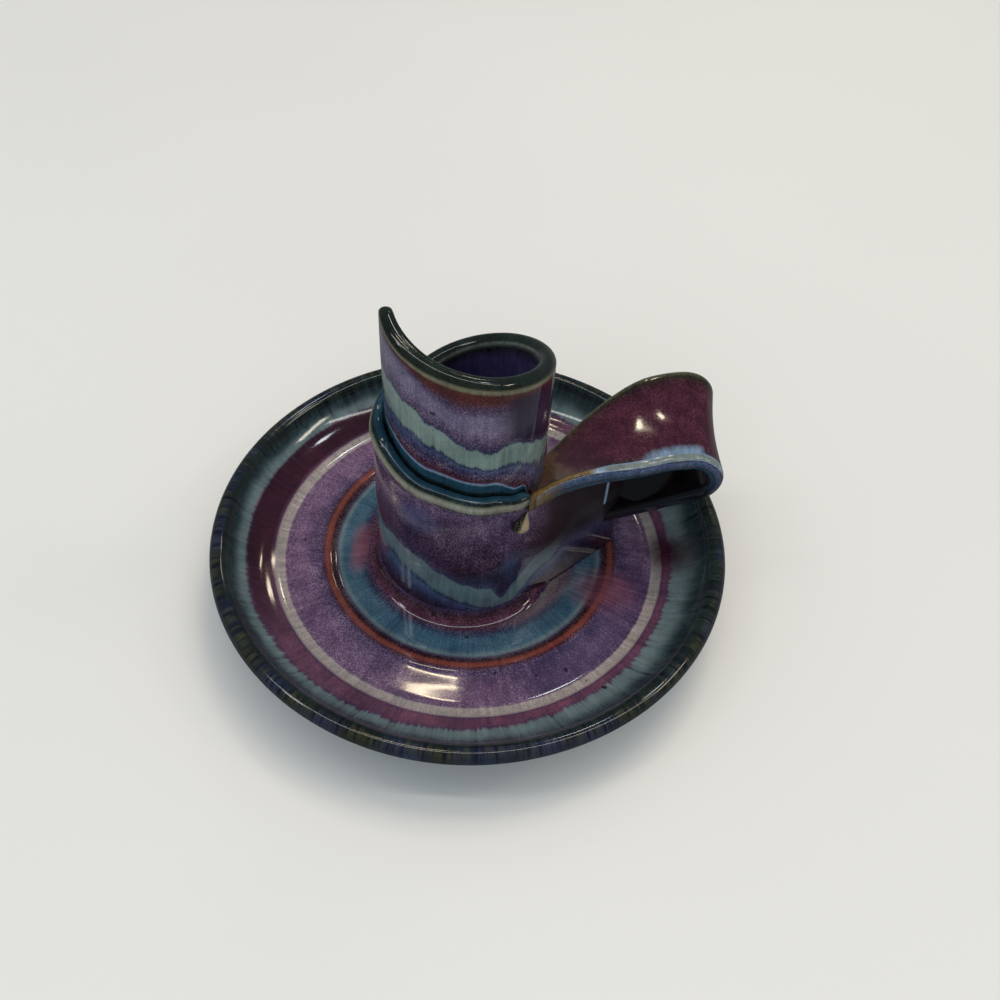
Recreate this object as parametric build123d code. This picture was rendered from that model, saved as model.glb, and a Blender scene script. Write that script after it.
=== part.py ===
from build123d import *
import math
import os

# Saucer
saucer_radius = 63.5
well_depth = 8.6
floor_thickness = 5.0
lip_wall = 4.4
well_flat_radius = 46.0
underside_radius = 44.0
wall_mid_radius = 57.0
ridge_radius = 34.5
ridge_width = 2.6
ridge_height = 0.6

# Foot ring under the saucer
foot_height = 4.4
foot_radius = 41.0
foot_wall = 4.6
foot_edge_round = 0.8

# Rolled slab of the candle tube, a little off the saucer's centre
tube_x = -1.45
tube_y = -0.9
bore_radius = 14.4
tube_wall = 3.8
tip_height = 88.0
tip_azimuth = -175.0
shoulder_height = 77.6
shoulder_azimuth = -25.0
seam_height = 53.5
tip_round = 4.0
slab_crown = 1.1
tube_seam = 0.3
edge_overlap = 12.0

# Outer turn of slab and its straight tail
wrap_wall = 2.8
slip_gap = 0.1
wrap_start_azimuth = 160.0
feather_azimuth = 152.0
full_wall_azimuth = 198.0
feather_heading = 310.0
fin_azimuth = -48.5
fin_length = 31.0
fin_sink = 2.9
ledge_start_height = 60.7
ledge_end_height = 48.2

# Finger loop strap
strap_width = 31.5
root_width = 18.0
tail_width = 17.0
strap_thickness = 4.0
strap_edge_round = 1.7
loop_reach = 58.6
loop_top = 46.4
bend_radius = 7.4
lower_arm_slope = 30.5
root_roll = 24.0
root_rise = -2.6
untwist_share = 0.6
near_root_y = -18.0
near_bend_y = -0.65
near_low_y = 1.6
near_tail_y = 2.5
arm_swing = 1.2
arm_spread = 2.4
arm_arch = 1.6
arm_steps = 6
bend_steps = 8

# Pressed tear of clay under the strap's near root
nib_length = 6.4
nib_width = 2.6
nib_height = 41.0
nib_azimuth = -50.0
nib_lean = -33.0
nib_belly = 0.35
nib_point = 0.25

# Coil pressed into the corner at the tube's foot
coil_width = 6.8
coil_height = 5.6
coil_edge = 0.4
coil_hollow = 0.32

# Levels and radii that follow from the sizes above
floor_z = foot_height + floor_thickness
saucer_height = floor_z + well_depth
lip_radius = lip_wall / 2
tube_radius = bore_radius + tube_wall
wrap_inner = tube_radius + slip_gap
wrap_radius = wrap_inner + wrap_wall
tube_centre = Pos(tube_x, tube_y, 0)


def make_saucer():
    lip_z = saucer_height - lip_radius
    half_ridge = ridge_width / 2
    ridge_in = (ridge_radius - half_ridge, floor_z)
    ridge_top = (ridge_radius, floor_z + ridge_height)
    ridge_out = (ridge_radius + half_ridge, floor_z)
    well_edge = (well_flat_radius, floor_z)
    lip_in = (saucer_radius - lip_wall, lip_z)
    lip_top = (saucer_radius - lip_radius, saucer_height)
    lip_out = (saucer_radius, lip_z)
    wall_mid = (wall_mid_radius, (lip_z + foot_height) / 2)
    under_edge = (underside_radius, foot_height)
    outline = Polyline((0, foot_height), (0, floor_z), ridge_in)
    outline += ThreePointArc(ridge_in, ridge_top, ridge_out)
    outline += Line(ridge_out, well_edge)
    outline += TangentArc(well_edge, lip_in, tangent=(1, 0))
    outline += ThreePointArc(lip_in, lip_top, lip_out)
    outline += Spline(lip_out, wall_mid, under_edge, tangents=[(0, -1), (-1, 0)])
    outline += Line(under_edge, (0, foot_height))
    return revolve(Plane.XZ * make_face(outline), Axis.Z)


def make_foot_ring():
    ring = Cylinder(foot_radius, foot_height) - Cylinder(foot_radius - foot_wall, foot_height)
    ring = Pos(0, 0, foot_height / 2) * ring
    rests_on = ring.faces().sort_by(Axis.Z)[0]
    return fillet(rests_on.edges(), foot_edge_round)


def turn_up(outline, radius, low_azimuth, low_top, high_azimuth, high_top):
    """Upright outline carried clockwise round the tube's axis along a rising helix."""
    rise = high_top - low_top
    pitch = rise * 360 / (low_azimuth - high_azimuth)
    helix = Helix(pitch, rise, radius, lefthand=True)
    turned = sweep(Plane.XZ * Pos(radius, 0, 0) * make_face(outline), path=helix, is_frenet=True)
    return tube_centre * Pos(0, 0, low_top) * Rot(0, 0, low_azimuth) * turned


def crowned_edge(wall, side_step, side_height):
    """Outline between the slab's rounded top edge and a level above or below it."""
    half = wall / 2
    left = (-half, -slab_crown)
    right = (half, -slab_crown)
    side = half + side_step
    side_left = (-side, -slab_crown)
    side_right = (side, -slab_crown)
    outline = ThreePointArc(left, (0, 0), right)
    if side_step:
        outline += Line(left, side_left) + Line(right, side_right)
    outline += Polyline(side_right, (side, side_height), (-side, side_height), side_left)
    return outline


def above_floor(solid):
    """Foot of a standing piece cut flat on the saucer's well."""
    reach = 2 * saucer_radius
    below = Pos(0, 0, floor_z - reach / 2) * Box(2 * reach, 2 * reach, reach)
    return solid - below


def make_candle_tube():
    height = tip_height - floor_z
    tube = Cylinder(tube_radius, height) - Cylinder(bore_radius, height)
    slit = Pos(tube_radius, 0, 0) * Box(2 * tube_radius, tube_seam, height)
    slit_azimuth = tip_azimuth - math.degrees(tube_seam / 2 / tube_radius)
    tube = tube_centre * Pos(0, 0, floor_z + height / 2) * (tube - Rot(0, 0, slit_azimuth) * slit)
    # The slanted top edge falls gently from the tip to the shoulder and then more steeply
    middle = bore_radius + tube_wall / 2
    above = crowned_edge(tube_wall + 2 * slip_gap, tube_wall, tip_height)
    gentle = (tip_height - shoulder_height) / (shoulder_azimuth - slit_azimuth)
    past_azimuth = shoulder_azimuth + edge_overlap
    past_height = shoulder_height - gentle * edge_overlap
    tube -= turn_up(above, middle, past_azimuth, past_height, slit_azimuth, tip_height)
    end_azimuth = slit_azimuth + 360
    steep = (shoulder_height - seam_height) / (end_azimuth - shoulder_azimuth)
    past_azimuth = shoulder_azimuth - edge_overlap
    past_height = shoulder_height + steep * edge_overlap
    tube -= turn_up(above, middle, end_azimuth, seam_height, past_azimuth, past_height)
    # The free tip's upper corner is rounded
    corner = Box(4 * tube_wall, tip_round, tip_round, align=(Align.CENTER, Align.MIN, Align.MAX))
    corner -= Pos(0, tip_round, -tip_round) * Rot(0, 90, 0) * Cylinder(tip_round, 4 * tube_wall)
    corner = Rot(0, 0, tip_azimuth) * Pos(middle, 0, tip_height) * corner
    return tube - tube_centre * corner


def make_outer_wrap(strap, dish):
    end_azimuth = fin_azimuth + 360
    start = (wrap_start_azimuth, ledge_start_height)
    below = crowned_edge(wrap_wall, 0, -ledge_start_height)
    middle = wrap_radius - wrap_wall / 2
    slab = turn_up(below, middle, end_azimuth, ledge_end_height, *start)
    # The start of the turn is feathered on to the tube, by a cylinder set off from its axis
    thin = math.cos(math.radians(feather_azimuth - feather_heading))
    full = math.cos(math.radians(full_wall_azimuth - feather_heading))
    shift = wrap_wall / (full - thin)
    feather = Pos(shift, 0, 0) * Cylinder(wrap_radius - shift * full, 4 * tip_height)
    slab = slab & (tube_centre * Rot(0, 0, feather_heading) * feather)
    # The tail runs on straight from the end of the turn and has a round upright end
    tail = Pos(wrap_radius - wrap_wall / 2, fin_length / 2, 0) * Rectangle(wrap_wall, fin_length)
    tail += Pos(wrap_radius - wrap_wall / 2, fin_length, 0) * Circle(wrap_wall / 2)
    fin = extrude(tail, loop_top - fin_sink)
    fin = tube_centre * Rot(0, 0, fin_azimuth) * fin
    wrap = above_floor(slab + fin) - strap - dish
    return wrap.solids().sort_by(SortBy.VOLUME)[-1]


def strap_section(x, z, near_y, width, slope, roll):
    """Rounded strap section; slope is the path's turn in the XZ plane, roll tips its far edge down."""
    along = Vector(math.cos(math.radians(slope)), 0, math.sin(math.radians(slope)))
    plane = Plane(origin=(x, near_y + width / 2, z), x_dir=(0, 1, 0), z_dir=along)
    outline = Rot(0, 0, roll) * RectangleRounded(width, strap_thickness, strap_edge_round)
    return plane * outline


def make_finger_loop():
    half = strap_thickness / 2
    middle_radius = bend_radius - half
    root_x = tube_x + bore_radius
    bend_x = loop_reach - bend_radius
    bend_z = loop_top - bend_radius
    sections = []
    # The upper arm swings from the tube's front right to the bend and untwists on the way
    for step in range(arm_steps + 1):
        share = step / arm_steps
        x = root_x + share * (bend_x - root_x)
        near_y = near_root_y + (near_bend_y - near_root_y) * (1 - (1 - share) ** arm_swing)
        z = loop_top - half + root_rise * (1 - share) ** 2 + arm_arch * 4 * share * (1 - share)
        width = root_width + (strap_width - root_width) * (1 - (1 - share) ** arm_spread)
        roll = -root_roll * max(0, 1 - share / untwist_share)
        sections.append(strap_section(x, z, near_y, width, 0, roll))
    # The tight bend
    turn = 180 - lower_arm_slope
    for step in range(1, bend_steps + 1):
        angle = turn * step / bend_steps
        lean = math.radians(angle)
        x = bend_x + middle_radius * math.sin(lean)
        z = bend_z + middle_radius * math.cos(lean)
        sections.append(strap_section(x, z, near_bend_y, strap_width, -angle, 0))
    # The lower arm slopes down to the foot of the tube
    foot_run = x - tube_x - tube_radius
    drop = math.tan(math.radians(lower_arm_slope))
    for share, near_y, width in ((0.5, near_low_y, strap_width), (1.0, near_tail_y, tail_width)):
        at_x = x - share * foot_run
        at_z = z - share * foot_run * drop
        sections.append(strap_section(at_x, at_z, near_y, width, -turn, 0))
    strap = loft(sections, ruled=True)
    inside_tube = tube_centre * Cylinder(tube_radius + slip_gap, 4 * tip_height)
    strap = above_floor(strap - inside_tube)
    return strap.solids().sort_by(SortBy.VOLUME)[-1]


def make_loop_nib(strap):
    """Tear of clay, round at its lower end and pointed at the top, pressed on the wrap's face."""
    half = nib_length / 2
    belly = nib_width / 2
    side = Spline((0, -half), (belly, -half * nib_belly), (0, half), tangents=[(1, 0), (-nib_point, 1)])
    tear = revolve(Plane.XZ * make_face(side + Line((0, half), (0, -half))), Axis.Z)
    tear = Rot(0, 0, nib_azimuth) * Pos(wrap_radius, 0, nib_height) * Rot(nib_lean, 0, 0) * tear
    return tube_centre * (tear - Cylinder(wrap_radius + slip_gap, 4 * tip_height)) - strap


def make_base_coil(standing):
    """Coil smoothed to a hollow fillet round the tube's foot."""
    inner = (tube_radius + slip_gap, floor_z)
    toe = (tube_radius + coil_width, floor_z)
    toe_top = (tube_radius + coil_width, floor_z + coil_edge)
    crest = (tube_radius + slip_gap, floor_z + coil_height)
    hollow = (tube_radius + coil_width * coil_hollow, floor_z + coil_height * coil_hollow)
    outline = Polyline(crest, inner, toe, toe_top)
    outline += ThreePointArc(toe_top, hollow, crest)
    coil = tube_centre * revolve(Plane.XZ * make_face(outline), Axis.Z)
    for piece in standing:
        coil = coil - piece
    return coil


saucer = make_saucer()
foot_ring = make_foot_ring()
candle_tube = make_candle_tube()
finger_loop = make_finger_loop()
outer_wrap = make_outer_wrap(finger_loop, saucer)
loop_nib = make_loop_nib(finger_loop)
base_coil = make_base_coil([outer_wrap, finger_loop])

os.makedirs("parts", exist_ok=True)
pieces = {
    "saucer": saucer,
    "foot_ring": foot_ring,
    "candle_tube": candle_tube,
    "outer_wrap": outer_wrap,
    "finger_loop": finger_loop,
    "loop_nib": loop_nib,
    "base_coil": base_coil,
}
for name, piece in pieces.items():
    export_step(piece, f"parts/{name}.step")
    print(name, round(piece.volume, 1), len(piece.solids()), piece.is_valid)
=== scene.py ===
import math

import bmesh
import bpy
from mathutils import Matrix, Vector, noise


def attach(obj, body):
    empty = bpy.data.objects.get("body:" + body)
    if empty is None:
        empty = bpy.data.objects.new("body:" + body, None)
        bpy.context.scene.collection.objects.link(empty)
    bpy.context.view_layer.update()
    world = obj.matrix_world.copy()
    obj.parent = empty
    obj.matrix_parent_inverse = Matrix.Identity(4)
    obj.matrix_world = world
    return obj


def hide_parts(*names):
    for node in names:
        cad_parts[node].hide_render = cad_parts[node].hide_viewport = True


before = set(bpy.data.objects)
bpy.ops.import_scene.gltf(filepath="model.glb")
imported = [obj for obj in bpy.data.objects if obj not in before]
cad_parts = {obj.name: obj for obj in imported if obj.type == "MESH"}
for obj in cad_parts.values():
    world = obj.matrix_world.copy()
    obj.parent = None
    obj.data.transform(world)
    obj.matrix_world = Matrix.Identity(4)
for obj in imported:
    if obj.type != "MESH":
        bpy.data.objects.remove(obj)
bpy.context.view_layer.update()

MM = 0.001

# Sizes of the pieces, in millimetres and degrees
SAUCER_R = 63.5
FLOOR_Z, FOOT_Z = 9.4, 4.4
WELL_R, WALL_R, WALL_SWEEP = 46.0, 16.6, 52.1
RIDGE_R, RIDGE_RISE, RIDGE_WIDTH = 35.6, 0.62, 1.4
GROOVE_R, GROOVE_DEPTH, GROOVE_WIDTH = 33.0, 0.16, 1.0
RIPPLE, RIPPLE_PITCH = 0.0015, 3.4
LIP_MID, LIP_Z, LIP_R = 61.3, 15.8, 2.2
UNDERSIDE_R = 44.0
RING_IN, RING_OUT, RING_ROUND = 36.4, 41.0, 0.8
TUBE_X, TUBE_Y = -1.45, -0.9
TUBE_R, TUBE_MID, TUBE_HALF = 18.2, 16.3, 1.9
ROLL_SWEEP = 359.1
TIP_AZ, TIP_Z, TIP_ROUND, TIP_THIN = -175.0, 88.0, 4.0, 0.74
SHOULDER_AZ, SHOULDER_Z, SHOULDER_EASE = -25.0, 77.6, 0.6
SEAM_AZ, SEAM_Z = 185.0, 53.5
WRAP_R, WRAP_IN, WRAP_THICK = 21.1, 18.3, 2.8
WRAP_AZ, WRAP_FULL_AZ, WRAP_END_AZ = 152.0, 200.0, 311.5
LEDGE_END_Z, LEDGE_LIP = 47.6, 0.6
FIN_AZ, FIN_LEN, FIN_Z = -48.5, 31.0, 43.6
STRAP_X, STRAP_NEAR_Y, STRAP_WIDTH = 13.4, -18.0, 18.0
STRAP_DROP, STRAP_ARCH, STRAP_ROLL = 2.6, 1.6, -24.0
STRAP_HALF, STRAP_ROUND, STRAP_HOLLOW = 2.0, 1.85, 0.9
BEND_X, BEND_Z, BEND_R, BEND_SWEEP = 51.2, 39.0, 5.4, 149.5
BEND_NEAR_Y, BEND_WIDTH = -0.65, 31.5
ARM_SHIFT, ARM_WIDTH, ARM_OVERLAP = 3.2, 17.0, 2.5
TEAR_AZ, TEAR_Z, TEAR_LEAN = -50.0, 41.0, -33.0
TEAR_HALF, TEAR_R = 3.2, 2.3
TOE_R, COIL_RISE, COIL_RISE_WRAP, COIL_SUNK, COIL_INSET = 25.0, 5.6, 4.2, 0.15, 0.6

# Noise scales of the glaze, per metre
DRIFT, LOOSE, GRIT, CLOUD, PIT, SWELL = 60.0, 110.0, 3000.0, 170.0, 420.0, 90.0


def smooth(low, high, x):
    """0 below low, 1 above high and an S between them."""
    t = min(1.0, max(0.0, (x - low) / (high - low)))
    return t * t * (3 - 2 * t)


def between(low, full, fade, high, x):
    """1 from full to fade, and 0 below low and above high."""
    return smooth(low, full, x) * (1 - smooth(fade, high, x))


def bell(x, middle, width):
    """1 at the middle, falling away to both sides over about the width."""
    return math.exp(-(((x - middle) / width) ** 2))


def lerp(a, b, t):
    return a + (b - a) * t


def steps(count, first=0):
    """Even shares up to 1, from first / count on."""
    return [i / count for i in range(first, count + 1)]


def along(points, x):
    """Smooth line through a few (x, y) points."""
    if x <= points[0][0]:
        return points[0][1]
    for (x0, y0), (x1, y1) in zip(points, points[1:]):
        if x <= x1:
            return lerp(y0, y1, smooth(x0, x1, x))
    return points[-1][1]


def level(knots, z):
    """Band value at a height, straight between the (height, value) knots."""
    for (z0, v0), (z1, v1) in zip(knots, knots[1:]):
        if z <= z1:
            return lerp(v0, v1, (z - z0) / (z1 - z0))
    return knots[-1][1]


def lump(x, y, z, size, seed):
    """Slow hand-made unevenness between about -1 and 1."""
    return noise.noise(Vector((x / size + seed, y / size - seed, z / size + 2 * seed)))


def skin(name, node, rows, wrap_rows, wrap_cols, material):
    """Mesh that replaces a node, from a grid of points in millimetres.

    Each point is (x, y, z, band, grain), and may have two more values for its glaze's patches and
    one for how ragged the bands' edges are there.
    """
    n_rows, n_cols = len(rows), len(rows[0])
    points = [p for row in rows for p in row]
    faces = []
    for i in range(n_rows if wrap_rows else n_rows - 1):
        for j in range(n_cols if wrap_cols else n_cols - 1):
            a, b = i * n_cols + j, i * n_cols + (j + 1) % n_cols
            k = (i + 1) % n_rows * n_cols
            faces.append((a, b, k + (j + 1) % n_cols, k + j))
    if not wrap_rows and wrap_cols:
        faces.append(tuple(reversed(range(n_cols))))
        faces.append(tuple(range((n_rows - 1) * n_cols, n_rows * n_cols)))
    mesh = bpy.data.meshes.new(name)
    mesh.from_pydata([tuple(c * MM for c in p[:3]) for p in points], [], faces)
    for place, attribute, plain in ((3, "band", 0.0), (5, "across", 0.0), (6, "second", 0.0), (7, "rag", 1.0)):
        values = mesh.attributes.new(attribute, "FLOAT", "POINT")
        values.data.foreach_set("value", [p[place] if len(p) > place else plain for p in points])
    grain = mesh.attributes.new("grain", "FLOAT_VECTOR", "POINT")
    grain.data.foreach_set("vector", [c for p in points for c in p[4]])
    mesh.materials.append(material)
    piece = bpy.data.objects.new(name, mesh)
    bpy.context.scene.collection.objects.link(piece)
    work = bmesh.new()
    work.from_mesh(mesh)
    bmesh.ops.remove_doubles(work, verts=work.verts, dist=1e-6)
    bmesh.ops.recalc_face_normals(work, faces=work.faces)
    work.to_mesh(mesh)
    work.free()
    mesh.shade_smooth()
    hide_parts(node)
    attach(piece, "root")


def paint(r, g, b):
    """Linear colour from the usual 0 to 255 values."""
    out = []
    for v in (r, g, b):
        v /= 255
        out.append(v / 12.92 if v <= 0.04045 else ((v + 0.055) / 1.055) ** 2.4)
    return (*out, 1.0)


class Nodes:
    """Small helper that adds and links a material's nodes."""

    def __init__(self, name):
        self.material = bpy.data.materials.new(name)
        self.material.use_nodes = True
        self.tree = self.material.node_tree
        self.shader = self.tree.nodes["Principled BSDF"]

    def add(self, kind, inputs=None, **settings):
        node = self.tree.nodes.new(kind)
        for key, value in settings.items():
            setattr(node, key, value)
        for key, value in (inputs or {}).items():
            self.put(node.inputs[key], value)
        return node

    def put(self, socket, value):
        if isinstance(value, bpy.types.NodeSocket):
            self.tree.links.new(value, socket)
        else:
            socket.default_value = value

    def attribute(self, name, vector=False):
        node = self.add("ShaderNodeAttribute", attribute_name=name)
        return node.outputs["Vector" if vector else "Fac"]

    def noise(self, vector, scale, detail=3.0, rough=0.55):
        values = {"Vector": vector, "Scale": scale, "Detail": detail, "Roughness": rough}
        return self.add("ShaderNodeTexNoise", values).outputs["Fac"]

    def math(self, kind, a, b, c=None):
        node = self.add("ShaderNodeMath", {0: a, 1: b}, operation=kind)
        if c is not None:
            self.put(node.inputs[2], c)
        return node.outputs[0]

    def stretch(self, vector, scale):
        return self.add("ShaderNodeMapping", {"Vector": vector, "Scale": scale}).outputs[0]

    def ramp(self, factor, stops):
        node = self.add("ShaderNodeValToRGB", {"Fac": factor})
        elements = node.color_ramp.elements
        for end in (0, -1):
            elements[end].position, elements[end].color = stops[end]
        for place, colour in stops[1:-1]:
            elements.new(place).color = colour
        return node.outputs["Color"]

    def limits(self, factor, low, high):
        node = self.add("ShaderNodeMapRange", {"Value": factor, "From Min": low, "From Max": high})
        return node.outputs[0]

    def spread(self, factor, low, high):
        node = self.add("ShaderNodeMapRange", {"Value": factor, "To Min": low, "To Max": high})
        return node.outputs[0]

    def mix(self, factor, a, b, blend="MIX"):
        node = self.add("ShaderNodeMix", data_type="RGBA", blend_type=blend)
        self.put(node.inputs["Factor"], factor)
        self.put(node.inputs[6], a)
        self.put(node.inputs[7], b)
        return node.outputs[2]


def glaze(name, span, bands, fleck, lie, feather, drip, wander, patches=(), flecked=0.6, matt=None):
    """Glossy stoneware glaze.

    bands are (place, colour) along the piece's band value, which runs from 0 to span, and fleck the
    colours of the fine crystals along it. lie stretches the grain, along which the bands' edges run
    in fine teeth (feather) and broad drips (drip); wander lets them drift. patches are (attribute,
    low, high, colour, amount) laid over the bands, and matt names an attribute that dulls the gloss.
    """
    n = Nodes(name)
    spot = n.add("ShaderNodeTexCoord").outputs["Object"]
    grain = n.attribute("grain", vector=True)
    teeth = n.noise(n.stretch(grain, lie), 1.0, 3.0, 0.75)
    broad = n.noise(n.stretch(grain, tuple(v * 0.22 for v in lie)), 1.0, 3.0, 0.6)
    drift = n.noise(spot, DRIFT, 3.0, 0.5)
    run = n.math("MULTIPLY", n.math("SUBTRACT", teeth, 0.5), feather * 2)
    run = n.math("MULTIPLY_ADD", n.math("SUBTRACT", broad, 0.5), drip * 2, run)
    run = n.math("MULTIPLY_ADD", n.math("SUBTRACT", drift, 0.5), wander * 2, run)
    place = n.math("MULTIPLY_ADD", run, n.attribute("rag"), n.attribute("band"))
    place = n.math("DIVIDE", place, span)
    colour = n.ramp(place, [(p / span, c) for p, c in bands])
    crystals = n.ramp(place, [(p / span, c) for p, c in fleck])

    # Fine crystals, then the patches with loose edges over them
    loose = n.math("SUBTRACT", n.noise(spot, LOOSE, 3.0, 0.6), 0.5)
    loose = n.math("MULTIPLY_ADD", n.math("SUBTRACT", teeth, 0.5), 0.8, loose)
    grit = n.noise(spot, GRIT, 2.0, 0.7)
    cloud = n.noise(spot, CLOUD, 4.0, 0.65)
    dots = n.limits(n.math("MULTIPLY_ADD", cloud, 0.3, grit), 0.62, 0.80)
    colour = n.mix(n.math("MULTIPLY", dots, flecked), colour, crystals)
    for attribute, low, high, tint, amount in patches:
        where = n.limits(n.math("MULTIPLY_ADD", loose, 0.5, n.attribute(attribute)), low, high)
        colour = n.mix(n.math("MULTIPLY", where, amount), colour, tint)

    # Streaks along the grain, thin glaze where the edges are most ragged, and pits
    streaks = n.math("MULTIPLY_ADD", teeth, 0.5, n.math("MULTIPLY", cloud, 0.5))
    shade = n.ramp(streaks, [(0.32, (0.5, 0.5, 0.53, 1)), (0.68, (1.3, 1.3, 1.27, 1))])
    colour = n.mix(1.0, colour, shade, "MULTIPLY")
    thin = n.ramp(teeth, [(0.36, (0.22, 0.24, 0.26, 1)), (0.56, (1, 1, 1, 1))])
    colour = n.mix(n.limits(n.attribute("rag"), 1.3, 2.6), colour, n.mix(1.0, colour, thin, "MULTIPLY"))
    pits = n.limits(n.noise(spot, PIT, 0.0), 0.84, 0.87)
    colour = n.mix(n.math("MULTIPLY", pits, 0.8), colour, paint(14, 14, 14))
    n.put(n.shader.inputs["Base Color"], colour)

    rough = n.spread(grit, 0.04, 0.14)
    if matt:
        rough = n.math("MULTIPLY_ADD", n.limits(n.attribute(matt), 0.2, 1.0), 0.4, rough)
    n.put(n.shader.inputs["Roughness"], rough)
    n.shader.inputs["IOR"].default_value = 1.5
    n.shader.inputs["Coat Weight"].default_value = 0.0 if matt else 0.3
    n.shader.inputs["Coat Roughness"].default_value = 0.03
    height = n.math("MULTIPLY_ADD", grit, 0.012, n.noise(spot, SWELL, 2.0, 0.4))
    bump = n.add("ShaderNodeBump", {"Strength": 0.3, "Distance": 0.00025, "Height": height})
    n.put(n.shader.inputs["Normal"], bump.outputs[0])
    return n.material


# Glaze colours
BLACK_GREEN = paint(20, 30, 25)
OLIVE = paint(78, 78, 54)
OLIVE_DARK = paint(26, 28, 17)
GREY_GREEN = paint(112, 116, 106)
TEAL_DARK = paint(38, 54, 58)
TEAL_GREY = paint(98, 112, 114)
TEAL_BLUE = paint(52, 82, 102)
MAROON = paint(78, 28, 46)
MAROON_DARK = paint(40, 12, 24)
PLUM = paint(58, 19, 36)
CREAM = paint(160, 148, 140)
LAVENDER = paint(92, 64, 93)
VIOLET = paint(62, 45, 78)
NAVY = paint(42, 38, 72)
BLUE = paint(66, 76, 112)
BRICK = paint(116, 56, 46)
SAGE = paint(126, 143, 134)
LILAC = paint(156, 130, 146)
PALE_BLUE = paint(132, 156, 180)
OCHRE = paint(112, 84, 34)
TAN = paint(158, 138, 108)
SAND = paint(144, 136, 124)
PINK = paint(128, 72, 84)
INK = paint(14, 9, 12)
BUFF = paint(116, 110, 88)
RUST = paint(70, 22, 24)
GREY_VIOLET = paint(98, 90, 116)
PLUM_GREY = paint(56, 40, 64)
SAGE_GREY = paint(96, 112, 116)
STEEL = paint(42, 66, 90)
DUSK = paint(34, 24, 44)
DEEP_MAROON = paint(44, 12, 26)
MAUVE = paint(88, 58, 78)
IRIS = paint(66, 58, 98)
TEAL_DEEP = paint(30, 60, 76)
SLATE = paint(40, 50, 48)
MOSS = paint(52, 50, 34)
# Dark colour of painted shade, inside the loop and on the fin under it
SHADE_UMBER = paint(34, 11, 16)
INDIGO = paint(46, 50, 82)

# The saucer's bands run by radius out to the lip, and on under it
saucer_bands = [
    (0.00, NAVY), (0.34, MAROON_DARK), (0.40, MAROON), (0.425, NAVY), (0.45, TEAL_BLUE), (0.50, TEAL_BLUE),
    (0.516, TEAL_GREY), (0.527, VIOLET), (0.535, MAROON_DARK), (0.549, MAROON_DARK), (0.555, BRICK),
    (0.569, BRICK), (0.576, MAROON_DARK), (0.59, VIOLET), (0.65, LAVENDER), (0.726, LAVENDER),
    (0.732, CREAM), (0.766, CREAM), (0.772, VIOLET), (0.782, MAUVE), (0.815, MAUVE), (0.829, VIOLET),
    (0.836, TEAL_GREY), (0.87, TEAL_GREY), (0.905, TEAL_DARK), (0.94, SLATE), (0.97, BLACK_GREEN),
    (1.0, MOSS), (1.03, BLACK_GREEN), (1.2, NAVY), (1.4, BLACK_GREEN),
]
saucer_fleck = [
    (0.0, VIOLET), (0.44, TEAL_GREY), (0.52, TEAL_GREY), (0.56, BRICK), (0.6, LILAC), (0.72, LILAC),
    (0.75, LAVENDER), (0.78, PINK), (0.82, PINK), (0.85, TEAL_GREY), (0.9, TEAL_DARK), (0.94, SLATE),
    (1.03, MOSS), (1.08, BLUE), (1.4, TEAL_DARK),
]
saucer_glaze = glaze(
    "saucer_glaze", 1.5, saucer_bands, saucer_fleck, (44.0, 44.0, 2.2), 0.022, 0.012, 0.006,
    patches=[
        # The deep maroon patch also lays the painted shadow and reflection of the loop under it
        ("across", 0.1, 0.7, DEEP_MAROON, 0.9), ("across", -0.2, -0.8, NAVY, 0.55),
        # The pink patch also lays the painted glow of reflected light beside the fin
        ("second", 0.2, 0.8, PINK, 0.7), ("second", -0.95, -1.12, INDIGO, 0.8),
    ],
)

# The tube's bands run up its outside, over the rim and down inside
tube_bands = [
    (0.00, INK), (0.02, BLACK_GREEN), (0.035, TEAL_DEEP), (0.08, TEAL_DEEP), (0.093, PALE_BLUE),
    (0.108, MAROON), (0.15, MAROON_DARK), (0.18, VIOLET), (0.215, NAVY), (0.26, BLUE), (0.285, NAVY),
    (0.305, SAGE), (0.415, SAGE), (0.43, NAVY), (0.49, VIOLET), (0.62, GREY_VIOLET), (0.74, GREY_VIOLET),
    (0.82, VIOLET), (0.865, RUST), (0.918, RUST), (0.93, BUFF), (0.955, BUFF), (0.97, OLIVE_DARK),
    (1.05, BLACK_GREEN), (1.085, OLIVE_DARK), (1.10, GREY_GREEN), (1.13, OLIVE_DARK), (1.2, IRIS),
    (1.5, IRIS), (2.0, NAVY),
]
tube_fleck = [
    (0.0, TEAL_DARK), (0.08, TEAL_BLUE), (0.12, LAVENDER), (0.16, LILAC), (0.31, TEAL_GREY),
    (0.41, TEAL_GREY), (0.5, LILAC), (0.78, LILAC), (0.88, BRICK), (0.95, OLIVE), (0.98, SLATE),
    (1.1, SLATE), (1.2, LAVENDER), (1.5, BLUE), (2.0, NAVY),
]
tube_glaze = glaze(
    "tube_glaze", 2.0, tube_bands, tube_fleck, (22.0, 22.0, 5.0), 0.03, 0.03, 0.025,
    patches=[("across", 0.1, 0.9, DUSK, 0.9), ("second", 0.3, 0.8, BLUE, 0.5)],
)

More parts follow.
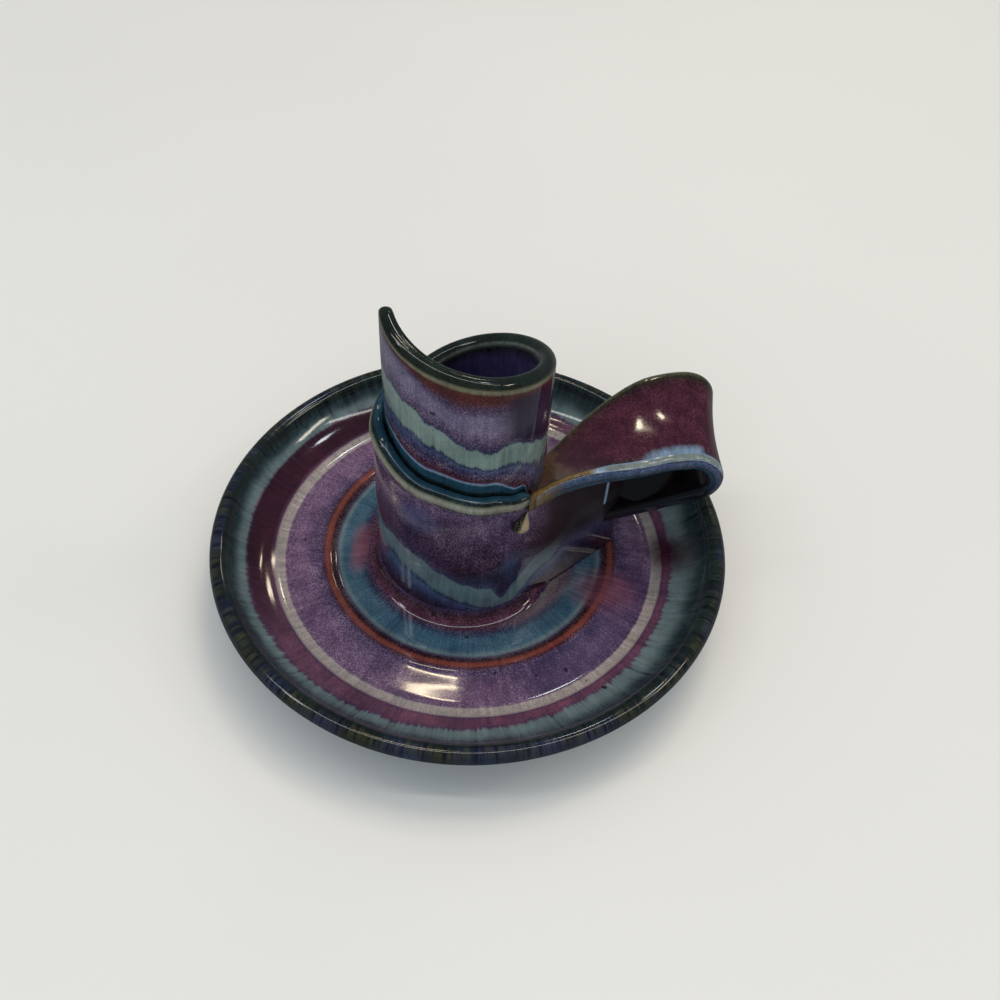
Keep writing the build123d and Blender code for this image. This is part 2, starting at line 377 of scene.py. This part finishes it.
# The wrap's bands run up its outside and over the ledge
wrap_bands = [
    (0.00, MAROON_DARK), (0.05, MAROON_DARK), (0.09, NAVY), (0.15, BLUE), (0.175, NAVY),
    (0.195, SAGE_GREY), (0.305, SAGE_GREY), (0.32, NAVY), (0.40, DUSK), (0.54, DUSK), (0.68, PLUM_GREY),
    (0.80, VIOLET), (0.89, VIOLET), (0.905, OLIVE_DARK), (0.918, BUFF), (0.95, SAND), (0.968, BUFF),
    (0.982, INK), (1.0, BLACK_GREEN), (1.02, TEAL_DEEP), (1.10, TEAL_DEEP), (1.15, BLACK_GREEN),
]
wrap_fleck = [
    (0.0, VIOLET), (0.2, TEAL_GREY), (0.3, TEAL_GREY), (0.4, LAVENDER), (0.7, LILAC), (0.88, LILAC),
    (0.93, SAGE), (1.0, TEAL_DARK), (1.15, TEAL_BLUE),
]
wrap_glaze = glaze(
    "wrap_glaze", 1.2, wrap_bands, wrap_fleck, (22.0, 22.0, 5.0), 0.016, 0.016, 0.018,
    patches=[
        # The dark patch on across is the painted shadow of the loop on the fin
        ("second", 0.25, 0.9, BLUE, 0.6), ("across", 0.1, 0.9, SHADE_UMBER, 0.9),
        # This pale blue patch is the fin end's pale glaze with a painted highlight
        ("second", 2.0, 2.6, PALE_BLUE, 1.0),
    ],
    matt="across",
)

# The strap's bands run once round its section, from the near edge over the upper face
strap_bands = [
    (0.00, STEEL), (0.030, STEEL), (0.040, BLUE), (0.047, INK), (0.056, OCHRE), (0.066, OCHRE),
    (0.076, MAROON_DARK), (0.12, PLUM), (0.36, PLUM), (0.42, MAROON_DARK), (0.44, OLIVE_DARK),
    # The under face, which is the inside of the loop, is painted dark as shade
    (0.455, OLIVE), (0.47, GREY_GREEN), (0.485, OLIVE), (0.51, OLIVE_DARK), (0.56, SHADE_UMBER), (0.92, SHADE_UMBER),
    (0.96, BLACK_GREEN), (0.975, TEAL_DEEP), (1.0, STEEL),
]
strap_fleck = [
    (0.0, BLUE), (0.06, CREAM), (0.12, PINK), (0.4, PINK), (0.46, OLIVE), (0.56, PLUM), (0.9, PLUM),
    (1.0, BLUE),
]
strap_glaze = glaze(
    "strap_glaze", 1.0, strap_bands, strap_fleck, (3.0, 34.0, 3.0), 0.008, 0.008, 0.006,
    patches=[
        ("across", 0.20, 0.06, OCHRE, 0.75), ("across", 0.09, -0.02, OLIVE_DARK, 0.8),
        ("second", 0.3, 0.9, PALE_BLUE, 0.7), ("second", 1.6, 2.0, GREY_GREEN, 0.85),
        # The ink patch paints the lower arm dark with the shade under the upper arm
        ("across", 1.45, 1.9, INK, 0.9),
    ],
    flecked=0.32,
)

nib_bands = [(0.0, INK), (0.82, INK), (0.88, OLIVE), (0.94, TAN), (1.0, TAN)]
nib_fleck = [(0.0, OLIVE), (1.0, TAN)]
nib_glaze = glaze("nib_glaze", 1.0, nib_bands, nib_fleck, (4.0, 4.0, 4.0), 0.03, 0.04, 0.02, flecked=0.3)

coil_bands = [
    (0.0, TEAL_BLUE), (0.12, NAVY), (0.28, MAROON), (0.6, MAROON_DARK), (0.8, NAVY), (1.0, MAROON_DARK),
]
coil_fleck = [(0.0, LILAC), (1.0, PINK)]
coil_glaze = glaze("coil_glaze", 1.0, coil_bands, coil_fleck, (24.0, 24.0, 3.0), 0.08, 0.12, 0.05, flecked=0.35)


def bare_clay():
    """Unglazed stoneware with grog and iron specks."""
    n = Nodes("bare_clay")
    spot = n.add("ShaderNodeTexCoord").outputs["Object"]
    cloud = n.noise(spot, 90.0, 5.0, 0.6)
    grog = n.noise(spot, 1300.0, 2.0, 0.6)
    iron = n.limits(n.noise(spot, 700.0, 1.0, 0.5), 0.68, 0.74)
    colour = n.ramp(cloud, [(0.3, paint(182, 152, 122)), (0.7, paint(214, 190, 160))])
    colour = n.mix(n.math("MULTIPLY", iron, 0.7), colour, paint(96, 62, 40))
    n.put(n.shader.inputs["Base Color"], colour)
    n.put(n.shader.inputs["Roughness"], n.spread(grog, 0.7, 0.95))
    bump = n.add("ShaderNodeBump", {"Strength": 0.6, "Distance": 0.0003, "Height": grog})
    n.put(n.shader.inputs["Normal"], bump.outputs[0])
    return n.material


# Saucer. The band values at the maroon's two edges and at the lip's dark glaze
MAROON_IN, MAROON_OUT, LIP_DARK = 0.775, 0.83, 0.95


def dip(r):
    """Slight fall of the dish's floor from the ridge out to the foot of the wall."""
    fall = 0.45 - 0.14 * (r - RIDGE_R - 2.0)
    return fall * between(RIDGE_R, RIDGE_R + 2.2, 44.5, 50.5, r)


def saucer_profile():
    """(radius, height, band, 0 where plain) from the well's centre out over the lip to the underside."""
    points = []
    for t in steps(130):
        r = WELL_R * t
        z = FLOOR_Z + RIDGE_RISE * bell(r, RIDGE_R, RIDGE_WIDTH) - GROOVE_DEPTH * bell(r, GROOVE_R, GROOVE_WIDTH)
        z += dip(r) + RIPPLE * math.sin(r * 2 * math.pi / RIPPLE_PITCH)
        points.append((r, z, r / SAUCER_R, 1.0))
    for t in steps(32, 1):
        a = math.radians(WALL_SWEEP) * t
        r, z = WELL_R + WALL_R * math.sin(a), FLOOR_Z + WALL_R * (1 - math.cos(a))
        points.append((r, z + dip(r), r / SAUCER_R, 1.0))
    for t in steps(24, 1):
        a = math.pi * (1 - t)
        points.append((LIP_MID + LIP_R * math.cos(a), LIP_Z + LIP_R * math.sin(a), 0.93 + 0.10 * t, 1.0))
    for t in steps(32, 1):
        a, b, c, d = (1 - t) ** 3, 3 * t * (1 - t) ** 2, 3 * t * t * (1 - t), t ** 3
        r = (a + b) * SAUCER_R + c * 52.6 + d * UNDERSIDE_R
        z = a * LIP_Z + b * (LIP_Z - 1) + c * (FOOT_Z + 0.1) + d * FOOT_Z
        points.append((r, z, 1.03 + 0.3 * t, 1.0))
    for t in steps(12, 1):
        points.append((UNDERSIDE_R * (1 - t), FOOT_Z, 1.33 + 0.1 * t, 0.0))
    return points


def saucer_share(band, edge_at, lip_at):
    """Band value with the maroon's outer edge moved to edge_at and the lip's dark glaze to lip_at."""
    if MAROON_IN < band < edge_at:
        return lerp(MAROON_IN, MAROON_OUT, (band - MAROON_IN) / (edge_at - MAROON_IN))
    if edge_at <= band < lip_at:
        return lerp(MAROON_OUT, LIP_DARK, (band - edge_at) / (lip_at - edge_at))
    return band


rows = []
profile = saucer_profile()
for step in range(300):
    az = 2 * math.pi * step / 300
    ca, sa = math.cos(az), math.sin(az)
    # The maroon reaches further out at the left, and the lip's dark glaze is narrower at the right
    edge_at = 0.838 + 0.036 * math.cos(az - 2.97)
    lip_at = LIP_DARK + 0.03 * max(0.0, math.cos(az + 0.4))
    row = []
    for r, z, band, live in profile:
        edge = smooth(40, 62, r) * live
        wave = 0.32 * 0.6 * lump(ca * 60, sa * 60, 0, 55, 3.1) * edge
        lift = 0.30 * lump(ca * 60, sa * 60, 9, 48, 7.7) * edge
        x, y = (r + wave) * ca, (r + wave) * sa
        share = saucer_share(band, edge_at, lip_at)
        ragged = lerp(0.22, 1.25, smooth(0.785, 0.815, share)) * lerp(1.0, 2.2, smooth(0.85, 0.9, share))
        # Darker maroon at the left and back, navy at the right front, and a painted shadow and reflection of the
        # loop on the dish under it
        dark = smooth(0.1, 1.0, math.cos(az - 2.62)) * between(0.765, 0.79, 0.82, 0.84, share)
        dark -= smooth(0.7, 1.0, math.cos(az + 0.65)) * between(0.585, 0.6, 0.72, 0.735, share)
        dark += 0.8 * bell(x, 51, 6.5) * bell(y, 1, 7.5)
        # Pink by the tube's left foot, a painted glow of light reflected from the loop beside the fin, and
        # mottles on the lip
        pink = bell(x, -27.5, 2.6) * bell(y, -3, 8) + bell(x, 34, 8) * bell(y, -11, 6.5)
        pink -= smooth(0.945, 0.965, share)
        row.append((x, y, z + lift, share, (ca, sa, r / SAUCER_R), dark * live, pink * live, ragged))
    rows.append(row)
skin("saucer_dish", "saucer", rows, True, False, saucer_glaze)

# Foot ring
outline = []
for centre_r, start in ((RING_OUT - RING_ROUND, -90), (RING_IN + RING_ROUND, 180)):
    for t in steps(8):
        a = math.radians(start + 90 * t)
        outline.append((centre_r + RING_ROUND * math.cos(a), RING_ROUND + RING_ROUND * math.sin(a)))
outline[9:9] = [(RING_OUT, FOOT_Z), (RING_IN, FOOT_Z)]
rows = []
for step in range(220):
    az = 2 * math.pi * step / 220
    ca, sa = math.cos(az), math.sin(az)
    wave = 0.12 * lump(ca * 40, sa * 40, 0, 20, 1.3)
    rows.append([((r + wave) * ca, (r + wave) * sa, z, 0.0, (ca, sa, z)) for r, z in outline])
skin("foot_clay", "foot_ring", rows, True, True, bare_clay())


# Candle tube
def rim_height(az):
    """Height of the tube's slanted edge, with azimuth from the tip on round to the seam."""
    gentle = TIP_Z - (TIP_Z - SHOULDER_Z) * (az - TIP_AZ) / (SHOULDER_AZ - TIP_AZ)
    steep = SHOULDER_Z - (SHOULDER_Z - SEAM_Z) * (az - SHOULDER_AZ) / (SEAM_AZ - SHOULDER_AZ)
    eased = math.exp(-gentle / SHOULDER_EASE) + math.exp(-steep / SHOULDER_EASE)
    return -SHOULDER_EASE * math.log(eased)


def ledge_height(az):
    """Height of the wrap's top edge, with azimuth from its start on to where the fin leaves."""
    return along([(150, 61.4), (200, 57.4), (250, 52.8), (290, 49.9), (WRAP_END_AZ, LEDGE_END_Z)], az)


# (azimuth, height) along the edges of the sage bands on the tube and on the wrap
tube_sage_high = [
    (-175, 76), (-149, 74), (-125, 72), (-110, 69), (-83, 64.2), (-71, 61.8), (-57, 63.2), (-20, 58), (185, 50),
]
tube_sage_low = [
    (-175, 67), (-149, 66), (-125, 65.2), (-110, 63), (-83, 59), (-71, 57.4), (-57, 57.8), (-20, 52), (185, 45),
]
wrap_sage_high = [
    (150, 22.8), (160, 24), (185, 29.5), (205, 29), (222, 31), (243, 29.5), (259, 25.3), (274, 22.2),
    (290, 20), (299, 15), (308, 19), (320, 24), (330, 31),
]
wrap_sage_low = [
    (150, 22), (185, 22), (205, 21), (222, 24.5), (243, 22), (259, 18), (274, 15), (290, 12.4), (300, 11),
    (308, 12), (320, 18), (330, 27),
]


def tube_knots(az, top):
    """(height, band value) up the tube: teal pool behind the ledge, sage band, rust and pale rim."""
    ledge = ledge_height(min(WRAP_END_AZ, az + 360))
    pool = ledge + 0.8 + 2.6 * (1 - smooth(-66, -46, az))
    # Past the fin the wall is bare of the wrap and has no pool
    bare = smooth(-44, -20, az)
    return [
        (FLOOR_Z, lerp(-0.05, 0.115, bare)),
        (lerp(ledge - 0.5, FLOOR_Z + 4, bare), lerp(0.0, 0.13, bare)),
        (lerp(pool, 26, bare), lerp(0.10, 0.185, bare)),
        (along(tube_sage_low, az), 0.295),
        (along(tube_sage_high, az), 0.42),
        (top - lerp(2.8, 7.5, smooth(-135, -95, az)), 0.80),
        (top - 2.5, 0.92),
        (top - 0.7, 0.97),
    ]


def tube_point(radius, az, z, band, dark, blue, ragged):
    a = math.radians(az)
    wave = 0.16 * lump(math.cos(a) * 20, math.sin(a) * 20, z, 16, 5.5)
    x, y = (radius + wave) * math.cos(a), (radius + wave) * math.sin(a)
    return (TUBE_X + x, TUBE_Y + y, z, band, (math.cos(a), math.sin(a), z / 90), dark, blue, ragged)


lengths = [0.0, 0.05, 0.15, 0.3, 0.5, 0.8, 1.1, 1.5, 2.0, 2.6, 3.2, TIP_ROUND]
lengths += [lerp(TIP_ROUND, math.radians(ROLL_SWEEP) * TUBE_MID, t) for t in steps(260, 1)]
rows = []
for length in lengths:
    az = TIP_AZ + math.degrees(length / TUBE_MID)
    # The free tip thins out and is rounded off
    near = max(0.0, 1 - length / TIP_ROUND)
    top = rim_height(az) - TIP_ROUND * (1 - math.sqrt(1 - near * near))
    thin = lerp(TIP_THIN, 1.0, smooth(0.0, 12.0, length))
    end = max(0.0, 1 - length / 1.1)
    half = TUBE_HALF * thin * math.sqrt(max(0.02, 1 - end * end))
    middle = TUBE_MID + TUBE_HALF * (1 - thin) * 0.6
    crown = min(2.0, half)
    knots = tube_knots(az, top)
    row = []
    for t in steps(60):
        z = lerp(FLOOR_Z, top - crown, t)
        band = level(knots, z)
        dark = between(-74, -48, 20, 60, az) * between(0.43, 0.5, 0.88, 0.92, band)
        blue = smooth(-105, -150, az) * between(0.12, 0.2, 0.27, 0.3, band)
        ragged = between(0.10, 0.16, 0.84, 0.9, band) + 0.12
        row.append(tube_point(middle + half, az, z, band, dark, blue, ragged))
    for t in steps(16, 1)[:-1]:
        a = math.pi * t
        z = top - crown + crown * math.sin(a) ** 0.85
        row.append(tube_point(middle + half * math.cos(a), az, z, lerp(0.95, 1.12, t), 0, 0, 0.15))
    for t in steps(23):
        z = lerp(top - crown, FLOOR_Z, t)
        row.append(tube_point(middle - half, az, z, 1.12 + (top - crown - z) / 45, 0, 0, 0.5))
    rows.append(row)
skin("candle_roll", "candle_tube", rows, False, True, tube_glaze)


# Outer wrap: round the tube from its feathered start, then straight out as the fin
def wrap_row(az, run, full):
    """Outline at an azimuth, with run None round the tube and else the distance out along the fin."""
    a = math.radians(az)
    out = Vector((math.cos(a), math.sin(a), 0))
    base = Vector((TUBE_X, TUBE_Y, 0))
    half = WRAP_THICK / 2 * full
    if run is None:
        middle, top = WRAP_IN + half, ledge_height(az)
        glaze_az, fade = az, smooth(290, WRAP_END_AZ, az)
    else:
        base += run * Vector((-math.sin(a), math.cos(a), 0))
        middle, top = WRAP_IN + WRAP_THICK / 2, lerp(LEDGE_END_Z, FIN_Z, smooth(0, 6, run))
        glaze_az, fade = WRAP_END_AZ + run, 1.0
    crown = min(1.0, half)
    knots = [
        (FLOOR_Z, 0.0),
        (along(wrap_sage_low, glaze_az), 0.185),
        (along(wrap_sage_high, glaze_az), 0.315),
        (top - 3.1, 0.90),
        (top - 0.5, 0.975),
    ]
    way = math.radians(glaze_az)

    def point(radius, z, band):
        p = base + out * (radius + 0.10 * lump(az / 3, z, 0, 14, 9.1))
        shade = 0.0
        blue = bell(glaze_az, 243, 16) * bell(z, 42.5, 5) + 0.8 * bell(glaze_az, 303, 9) * bell(z, 28, 6)
        if run is not None:
            # The fin is painted dark with the loop's shadow, and has one pale streak down its end that is pale
            # glaze with a painted highlight
            shade = smooth(-2, 13, run) * smooth(14, 29, z)
            blue += 3.0 * smooth(26, 29, z) * bell(run, 26.2, 0.8)
        elif az < WRAP_AZ + 1.5:
            # The glaze breaks olive over the slab's end
            band = max(band, 0.91)
        ragged = (1 - smooth(0.84, 0.9, band)) * (1 - fade * 0.6) + 0.15
        return (p.x, p.y, z, band, (math.cos(way), math.sin(way), z / 60), shade, blue, ragged)

    row = []
    for t in steps(60):
        z = lerp(FLOOR_Z, top - crown, t)
        lip = LEDGE_LIP * full * (1 - fade) * bell(z, top - 1.9, 1.7)
        row.append(point(middle + half + lip, z, level(knots, z) * lerp(1.0, 0.90, smooth(0, 5, run or 0))))
    for t in steps(12, 1)[:-1]:
        turn = math.pi * t
        z = top - crown + crown * math.sin(turn) ** 0.85
        row.append(point(middle + half * math.cos(turn), z, lerp(0.97, 1.1, t)))
    for t in steps(11):
        row.append(point(middle - half, lerp(top - crown, FLOOR_Z, t), 1.1))
    return row


rows = []
for t in steps(160):
    az = lerp(WRAP_AZ, WRAP_END_AZ, t)
    rows.append(wrap_row(az, None, max(0.06, smooth(WRAP_AZ, WRAP_FULL_AZ, az))))
for t in steps(90, 1):
    rows.append(wrap_row(FIN_AZ, FIN_LEN * t, 1.0))
for t in steps(8, 1):
    a = math.pi / 2 * t
    rows.append(wrap_row(FIN_AZ, FIN_LEN + WRAP_THICK / 2 * math.sin(a), math.cos(a) + 0.02))
skin("slab_wrap", "outer_wrap", rows, False, True, wrap_glaze)

# Strap of the finger loop: stations along its upper arm, its bend and its lower arm
stations = []
for s in steps(48):
    x = lerp(STRAP_X, BEND_X, s)
    z = BEND_Z + BEND_R - STRAP_DROP * (1 - s) ** 2 + STRAP_ARCH * 4 * s * (1 - s)
    near_y = lerp(STRAP_NEAR_Y, BEND_NEAR_Y, 1 - (1 - s) ** 1.2)
    width = lerp(STRAP_WIDTH, BEND_WIDTH, 1 - (1 - s) ** 2.4)
    stations.append((x, z, near_y, width, 0.0, STRAP_ROLL * (1 - smooth(0.0, 0.75, s)), s))
for s in steps(32, 1):
    lean = math.radians(BEND_SWEEP * s)
    x, z = BEND_X + BEND_R * math.sin(lean), BEND_Z + BEND_R * math.cos(lean)
    stations.append((x, z, BEND_NEAR_Y, BEND_WIDTH, -BEND_SWEEP * s, 0.0, 1 + s))
reach = x - TUBE_X - TUBE_R + ARM_OVERLAP
drop = reach * math.tan(math.radians(180 - BEND_SWEEP))
for s in steps(32, 1):
    width = lerp(BEND_WIDTH, ARM_WIDTH, smooth(0.3, 1.0, s))
    stations.append((x - s * reach, z - s * drop, BEND_NEAR_Y + ARM_SHIFT * s, width, -BEND_SWEEP, 0.0, 2 + s))


def corner(u, v, start, band, gain):
    """Quarter round of the strap's section, clockwise about a centre from a starting angle."""
    points = []
    for t in steps(8):
        a = math.radians(start - 90 * t)
        points.append((u + STRAP_ROUND * math.cos(a), v + STRAP_ROUND * math.sin(a), band + gain * t))
    return points


def strap_section(width):
    """(across, out of the face, band) once round the strap, which is hollowed a little on top."""
    u, v = width / 2 - STRAP_ROUND, STRAP_HALF - STRAP_ROUND
    points = corner(-u, v, 180, 0.02, 0.05)
    for t in steps(28, 1)[:-1]:
        points.append((lerp(-u, u, t), STRAP_HALF - STRAP_HOLLOW * math.sin(math.pi * t), 0.07 + 0.38 * t))
    points += corner(u, v, 90, 0.45, 0.04) + corner(u, -v, 0, 0.50, 0.04)
    for t in steps(20, 1)[:-1]:
        points.append((lerp(u, -u, t), -STRAP_HALF, 0.54 + 0.38 * t))
    return points + corner(-u, -v, -90, 0.93, 0.06)


rows = []
for x0, z0, near_y, width, slope, roll, share in stations:
    way, tilt = math.radians(slope), math.radians(roll)
    # Directions across the strap and out of its upper face
    normal, side = Vector((-math.sin(way), 0, math.cos(way))), Vector((0, 1, 0))
    across = side * math.cos(tilt) + normal * math.sin(tilt)
    face = normal * math.cos(tilt) - side * math.sin(tilt)
    centre = Vector((x0, near_y + width / 2, z0))
    row = []
    for u, v, band in strap_section(width):
        wave = 0.22 * lump(x0 + near_y, u + width, z0, 14, 4.4)
        p = centre + across * u + face * (v + wave)
        if 0.05 < band < 0.073:
            # Grey green line along the near edge
            blue = 2.4 * between(0.3, 0.5, 1.2, 1.6, share)
        else:
            blue = between(0.55, 0.8, 1.0, 1.2, share) * between(0.072, 0.08, 0.085, 0.15, band)
        row.append((p.x, p.y, p.z, band, (u / 12, share, v / 20), share, blue))
    rows.append(row)
skin("strap_loop", "finger_loop", rows, False, True, strap_glaze)

# Pressed tear of clay under the strap's root
place = Matrix.Translation((TUBE_X, TUBE_Y, 0)) @ Matrix.Rotation(math.radians(TEAR_AZ), 4, "Z")
place = place @ Matrix.Translation((WRAP_R, 0, TEAR_Z)) @ Matrix.Rotation(math.radians(TEAR_LEAN), 4, "X")
rows = []
for t in steps(32):
    z = lerp(-TEAR_HALF, TEAR_HALF, t)
    blunt = math.sqrt(max(0.0, 1 - (1 - min(1.0, t / 0.34)) ** 2))
    r = TEAR_R * blunt * (1 - smooth(0.3, 1.0, t)) + 0.02
    row = []
    for j in range(40):
        a = 2 * math.pi * j / 40
        p = place @ Vector((r * math.cos(a), r * math.sin(a), z))
        row.append((p.x, p.y, p.z, 0.5 + 0.5 * math.cos(a), (math.cos(a), math.sin(a), t)))
    rows.append(row)
skin("pressed_tear", "loop_nib", rows, False, True, nib_glaze)

# Coil smoothed into the corner at the tube's foot
rows = []
for step in range(240):
    az = 360 * step / 240
    ca, sa = math.cos(math.radians(az)), math.sin(math.radians(az))
    full = between(WRAP_AZ, WRAP_FULL_AZ, 311, 330, az if az > 140 else az + 360)
    foot_r = lerp(TUBE_R + 0.1, WRAP_R, full) - COIL_INSET
    toe = TOE_R + 0.35 * lump(ca * 25, sa * 25, 0, 14, 2.2)
    rise = lerp(COIL_RISE, COIL_RISE_WRAP, full)
    low = FLOOR_Z - COIL_SUNK
    row = []
    for t in steps(18):
        r = lerp(toe, foot_r, 1 - (1 - t) ** 1.25)
        z = low + (rise + COIL_SUNK) * t ** 1.9
        row.append((TUBE_X + r * ca, TUBE_Y + r * sa, z, t, (ca, sa, t)))
    row.append((TUBE_X + foot_r * ca, TUBE_Y + foot_r * sa, low, 1.0, (0, 0, 0)))
    rows.append(row)
skin("foot_fillet", "base_coil", rows, True, True, coil_glaze)

# Table that sweeps up into the background, in metres; the glaze mirrors it darker than it is
TABLE_HALF, TABLE_NEAR, TABLE_FAR, SWEEP_R = 4.0, -3.0, 2.0, 1.5
table = Nodes("table_paint")
spot = table.add("ShaderNodeTexCoord").outputs["Object"]
tone = table.ramp(table.noise(spot, 3.0, 2.0), [(0.3, paint(222, 215, 208)), (0.7, paint(227, 220, 213))])
seen = table.add("ShaderNodeLightPath").outputs["Is Glossy Ray"]
table.put(table.shader.inputs["Base Color"], table.mix(seen, tone, paint(104, 104, 106)))
table.shader.inputs["Roughness"].default_value = 0.6
section = [(lerp(TABLE_NEAR, TABLE_FAR, t), 0.0) for t in steps(11)]
for t in steps(12):
    a = math.pi / 2 * t
    section.append((TABLE_FAR + SWEEP_R * math.sin(a), SWEEP_R - SWEEP_R * math.cos(a)))
verts = [(x, y, z) for y, z in section for x in (-TABLE_HALF, TABLE_HALF)]
faces = [(2 * i, 2 * i + 1, 2 * i + 3, 2 * i + 2) for i in range(len(section) - 1)]
mesh = bpy.data.meshes.new("table")
mesh.from_pydata(verts, [], faces)
mesh.shade_smooth()
mesh.materials.append(table.material)
floor = bpy.data.objects.new("table", mesh)
bpy.context.scene.collection.objects.link(floor)

# Soft studio light: cool sky, neutral where the camera sees it and dim where the glaze mirrors it
world = bpy.data.worlds.new("studio")
bpy.context.scene.world = world
world.use_nodes = True
tree = world.node_tree
sky = tree.nodes["Background"]
light_path = tree.nodes.new("ShaderNodeLightPath")
tint = tree.nodes.new("ShaderNodeMix")
tint.data_type = "RGBA"
tint.inputs[6].default_value = (0.72, 0.88, 1.0, 1.0)
tint.inputs[7].default_value = (1.1, 1.08, 1.05, 1.0)
tree.links.new(light_path.outputs["Is Camera Ray"], tint.inputs["Factor"])
tree.links.new(tint.outputs[2], sky.inputs["Color"])
dim = tree.nodes.new("ShaderNodeMapRange")
dim.inputs["To Min"].default_value = 0.67
dim.inputs["To Max"].default_value = 0.10
tree.links.new(light_path.outputs["Is Glossy Ray"], dim.inputs["Value"])
tree.links.new(dim.outputs[0], sky.inputs["Strength"])


def area(name, place, target, size, power, colour):
    lamp = bpy.data.lights.new(name, "AREA")
    lamp.shape = "RECTANGLE"
    lamp.size, lamp.size_y = size
    lamp.energy = power
    lamp.color = colour
    light = bpy.data.objects.new(name, lamp)
    light.location = place
    light.rotation_euler = (Vector(target) - Vector(place)).to_track_quat("-Z", "Y").to_euler()
    bpy.context.scene.collection.objects.link(light)
    return light


BODY, LOOP = (0, 0, 0.03), (0.04, 0, 0.05)
DAY, COOL, AMBER = (0.9, 0.96, 1.0), (0.84, 0.93, 1.0), (1.0, 0.88, 0.66)
soft = area("key", (0.32, 0.55, 1.55), BODY, (0.6, 0.6), 7.2, (1.0, 0.84, 0.65))
soft.visible_glossy = False
front = area("fill", (-0.3, -1.4, 1.1), BODY, (1.2, 0.8), 5.0, (0.82, 0.92, 1.0))
front.visible_glossy = False
area("lamp_above", (-0.143, 0.285, 1.3), (-0.143, -0.02, 0.03), (0.2, 0.022), 0.5, (1.0, 0.84, 0.58))
area("lamp_back", (0.137, 0.691, 1.3), BODY, (0.09, 0.06), 0.36, DAY)
area("lamp_right", (0.66, 0.32, 1.3), BODY, (0.1, 0.1), 0.5, DAY)
area("lamp_strap", (0.24, 1.04, 0.97), LOOP, (0.04, 0.08), 0.2, AMBER)
area("lamp_strap_twin", (0.40, 1.0, 0.96), LOOP, (0.03, 0.08), 0.16, AMBER)
area("strip_above", (0.0, -0.06, 1.6), (0, -0.06, 0), (2.8, 0.08), 5.6, (1.0, 0.97, 0.92))
area("window_left", (-0.83, -0.21, 1.15), BODY, (0.08, 0.2), 0.6, COOL)
area("window_right", (1.3, 0.02, 1.17), BODY, (0.4, 0.12), 1.6, (1.0, 0.92, 0.74))

# Camera at the photograph's viewing angle, in metres and radians
CAMERA_AT, PITCH, ROLL = (0.006958, -0.159063, 0.208955), 0.850386, 0.0663228
scene = bpy.context.scene
forward = Vector((0, math.cos(PITCH), -math.sin(PITCH)))
level_up, level_right = Vector((0, math.sin(PITCH), math.cos(PITCH))), Vector((1, 0, 0))
right = math.cos(ROLL) * level_right + math.sin(ROLL) * level_up
up = -math.sin(ROLL) * level_right + math.cos(ROLL) * level_up
lens = bpy.data.cameras.new("camera")
lens.lens, lens.sensor_width = 36.0, 36.0
lens.clip_start = 0.01
camera = bpy.data.objects.new("camera", lens)
turn = Matrix((right, up, -forward)).transposed().to_4x4()
camera.matrix_world = Matrix.Translation(CAMERA_AT) @ turn
scene.collection.objects.link(camera)
scene.camera = camera
scene.view_settings.view_transform = "Standard"
